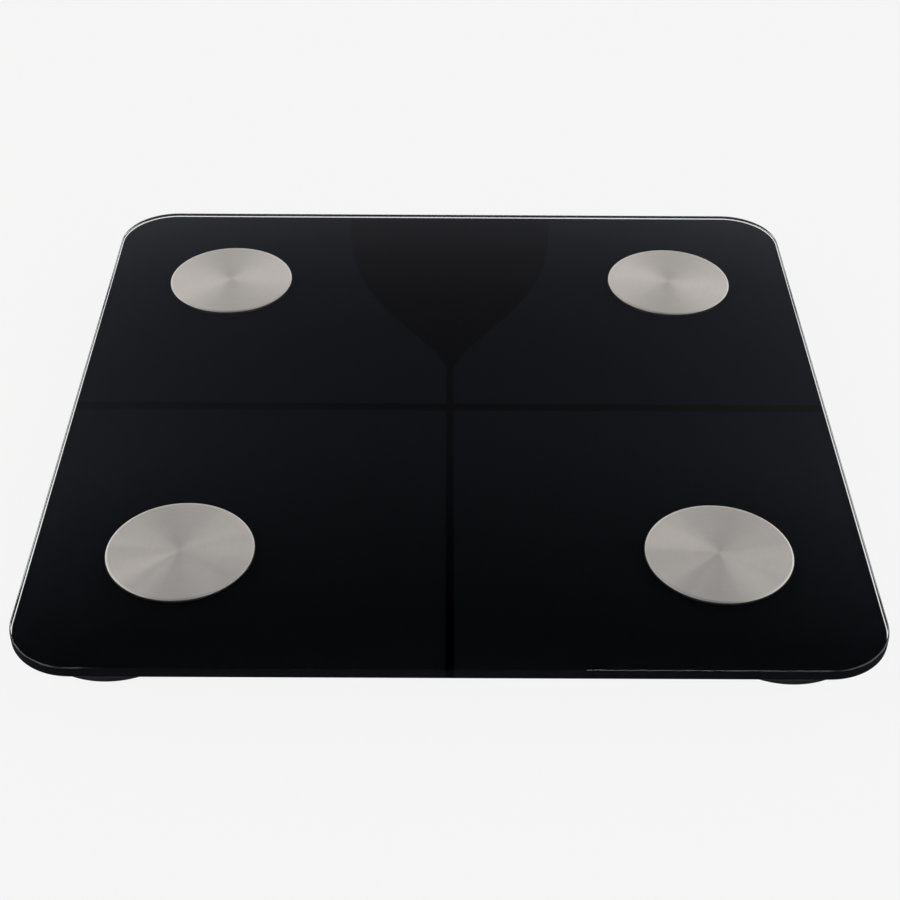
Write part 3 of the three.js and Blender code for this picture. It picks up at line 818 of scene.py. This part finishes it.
def coil(name, wide, narrow, wire, height, turns, material):
    """A conical spring about Z, its wide end down; wire is the wire's radius."""
    steps, sides = 48 * turns, 10
    verts = []
    for i in range(steps + 1):
        t = i / steps
        angle, radius = 2 * math.pi * turns * t, wide + (narrow - wide) * t
        for k in range(sides):
            around = 2 * math.pi * k / sides
            out = radius + wire * math.cos(around)
            verts.append((out * math.cos(angle), out * math.sin(angle),
                          wire + (height - 2 * wire) * t + wire * math.sin(around)))
    faces = [tuple(range(sides)), tuple(range(steps * sides, (steps + 1) * sides))[::-1]]
    for i in range(steps):
        for k in range(sides):
            n = (k + 1) % sides
            low, high = i * sides, (i + 1) * sides
            faces.append((low + k, high + k, high + n, low + n))
    return make_object(name, verts, faces, [material])


def batteries(sleeve, plated):
    """Three cells side by side, the middle one the other way round, each held by a spring at its base."""
    nub, nub_r, wire = 0.8 * MM, 1.9 * MM, 0.4 * MM
    base_step, base_ring, base_flat = 0.2 * MM, 1.3 * MM, 1.6 * MM
    spring_wide, spring_narrow, spring_turns = 3.6 * MM, 2.2 * MM, 3
    for i in (1, 2, 3):
        low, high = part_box(f"battery_cell_{i}")
        length, radius, centre = high.x - low.x, (high.z - low.z) / 2, middle(f"battery_cell_{i}")
        cell = lathe(f"cell_{i}", rounded_profile([
            (0, base_step, 0), (radius - base_flat, base_step, 0.1 * MM), (radius - base_ring, 0, 0.2 * MM),
            (radius, 0, 0.6 * MM), (radius, length - nub, 0.7 * MM), (nub_r, length - nub, 0.3 * MM),
            (nub_r, length, 0.4 * MM), (0, length, 0),
        ]), 64, sleeve)
        spring_low, spring_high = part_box(f"battery_spring_{i}")
        spring = coil(f"spring_{i}", spring_wide, spring_narrow, wire, spring_high.x - spring_low.x,
                      spring_turns, plated)
        towards_right = i != 2
        for piece, start, end in ((cell, low.x, high.x), (spring, spring_low.x, spring_high.x)):
            piece.location = (start if towards_right else end, centre.y, centre.z)
            piece.rotation_euler = (0, math.pi / 2 if towards_right else -math.pi / 2, 0)
        settle(cell, "platform", "battery_sleeve", f"battery_cell_{i}")
        settle(spring, "platform", "plated_steel", f"battery_spring_{i}")


# ------------------------------------------------------------------ studio

# The room's light depends on the height (Z) and the side (X) of a direction of length 1. A level is
# a radiance: the horizon is even up to FADE_START, haze reaches up to HAZE_END, and the side walls
# come in from WING_START out.
HORIZON_LEVEL = 1.4
FADE_START = 0.448
FADE_RATE = 37.0
HAZE = 0.058
HAZE_END = 0.685
HAZE_FADE = 0.08
SIDE_GLOW = 1.7
SIDE_LIMIT = 0.05
WING_START = 0.33
WING_END = 0.6
WING_LEVEL = 1.35
LOW_SKY_SHARE = 0.45
FRONT_SHARE = 0.12
FLOOR_LEVEL = 0.11
PEAK = 2.0
COOL_TINT = (0.88, 0.90, 1.12)
WARM_TINT = (1.22, 1.20, 1.14)
FLOOR_EMISSION = 0.89
FLOOR_HALF = 200.0
SOFTBOXES = (("right", 0.42, 0.44), ("left", -0.64, 0.26))  # name, place along X, width
SOFTBOX_RADIANCE = 2.2
SOFTBOX_DEPTH = 1.4
SOFTBOX_Y = -1.4
SOFTBOX_HEIGHT = 1.4


def studio():
    """A pale endless floor, a softly lit room and two softboxes above the camera's side."""
    scene = bpy.context.scene
    scene.view_settings.view_transform = "Standard"

    floor_mat, tree, shader = new_material("studio_floor")
    set_inputs(shader, Base_Color=(0.03, 0.03, 0.03), Roughness=0.9, Specular_IOR_Level=0.0,
               Emission_Color=(1.0, 1.0, 1.0), Emission_Strength=FLOOR_EMISSION)
    corners = [(sx * FLOOR_HALF, sy * FLOOR_HALF, 0) for sx, sy in ((-1, -1), (1, -1), (1, 1), (-1, 1))]
    floor = make_object("studio_floor", corners, [(0, 1, 2, 3)], [floor_mat])
    floor.modifiers.clear()
    floor.visible_glossy = False

    world = bpy.data.worlds.new("studio_world")
    scene.world = world
    world.use_nodes = True
    tree = world.node_tree
    background = tree.nodes["Background"]
    side, ahead, up = separate(tree, node(tree, "ShaderNodeTexCoord").outputs["Generated"])
    # A pale horizon that fades towards a dark roof over a faint haze, which is a little brighter off
    # to both sides, between two pale side walls. The room below and in front of the object is dark.
    above = math_node(tree, "SUBTRACT", up, FADE_START)
    fade = math_node(tree, "EXPONENT", math_node(tree, "MULTIPLY", above, -FADE_RATE))
    fade = math_node(tree, "MINIMUM", fade, HORIZON_LEVEL)
    off_centre = math_node(tree, "MINIMUM", math_node(tree, "MULTIPLY", side, side), SIDE_LIMIT)
    haze = math_node(tree, "ADD", math_node(tree, "MULTIPLY", off_centre, SIDE_GLOW), HAZE)
    reach = math_node(tree, "DIVIDE", math_node(tree, "SUBTRACT", HAZE_END, up), HAZE_FADE, clamp=True)
    level = math_node(tree, "ADD", fade, math_node(tree, "MULTIPLY", haze, reach))
    level = math_node(tree, "MULTIPLY", level, remap(tree, up, 0.0, 0.35, LOW_SKY_SHARE, 1.0))
    level = math_node(tree, "MULTIPLY", level, remap(tree, ahead, -0.6, 0.1, FRONT_SHARE, 1.0))
    wing = remap(tree, math_node(tree, "ABSOLUTE", side), WING_START, WING_END, 0.0, WING_LEVEL)
    level = math_node(tree, "MAXIMUM", level, wing)
    level = math_node(tree, "MULTIPLY", level, remap(tree, up, -0.03, 0.0, 0.0, 1.0))
    level = math_node(tree, "ADD", level, remap(tree, up, -0.55, -0.9, 0.0, FLOOR_LEVEL))
    tint = mix_colour(tree, level, COOL_TINT, WARM_TINT)
    share = math_node(tree, "DIVIDE", level, PEAK)
    tree.links.new(mix_colour(tree, share, (0.0, 0.0, 0.0), tint), background.inputs["Color"])
    background.inputs["Strength"].default_value = PEAK

    for name, place, width in SOFTBOXES:
        lamp = bpy.data.lights.new(f"softbox_{name}", "AREA")
        lamp.shape = "RECTANGLE"
        lamp.size, lamp.size_y = width, SOFTBOX_DEPTH
        lamp.energy = SOFTBOX_RADIANCE * math.pi * width * SOFTBOX_DEPTH
        softbox = bpy.data.objects.new(f"softbox_{name}", lamp)
        softbox.location = (place, SOFTBOX_Y, SOFTBOX_HEIGHT)
        softbox.rotation_euler = (math.atan2(-SOFTBOX_Y, SOFTBOX_HEIGHT), 0, 0)
        scene.collection.objects.link(softbox)


# ------------------------------------------------------------------ build

add_camera()
studio()

PLASTIC = moulded_plastic("foot_plastic", (0.011, 0.0115, 0.012), (0.019, 0.0195, 0.021), 0.42)
TRAY_PLASTIC = moulded_plastic("tray_texture", (0.014, 0.0145, 0.015), (0.022, 0.0225, 0.024), 0.58)
STEEL = brushed_disc()
PLATED = plated_steel()
FOAM = foam()

glass_platform(clear_glass(), screen_print())
electrodes(STEEL, FOAM)
feet(PLASTIC, rubber())
under_tray(TRAY_PLASTIC)
battery_door(PLASTIC)
unit_button(PLASTIC)
batteries(battery_sleeve(), PLATED)

carried = {
    "electrode_nut": PLATED, "load_cell_cradle": PLASTIC, "bonding_tape": FOAM, "display_gasket": FOAM,
    "main_board": circuit_board(), "board_screw": PLATED, "battery_plate": PLATED,
    "display_module": speckled("display_black", (0.006, 0.006, 0.007), (0.012, 0.012, 0.013), 0.3, 300.0),
    "unit_switch": speckled("switch_black", (0.008, 0.008, 0.009), (0.016, 0.016, 0.017), 0.4, 500.0),
    "lead_header": speckled("header_nylon", (0.60, 0.57, 0.48), (0.72, 0.69, 0.60), 0.5, 400.0),
    "load_cell_lead": speckled("lead_red", (0.20, 0.010, 0.010), (0.30, 0.018, 0.015), 0.45, 250.0),
    "electrode_lead": speckled("lead_black", (0.010, 0.010, 0.010), (0.02, 0.02, 0.02), 0.45, 250.0),
    "power_lead": speckled("lead_white", (0.55, 0.55, 0.53), (0.68, 0.68, 0.66), 0.45, 250.0),
    "load_cell": PLATED,
}
for name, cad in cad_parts.items():
    keys = [key for key in carried if name.startswith(key)]
    if keys:
        cad.data.materials.clear()
        cad.data.materials.append(carried[max(keys, key=len)])
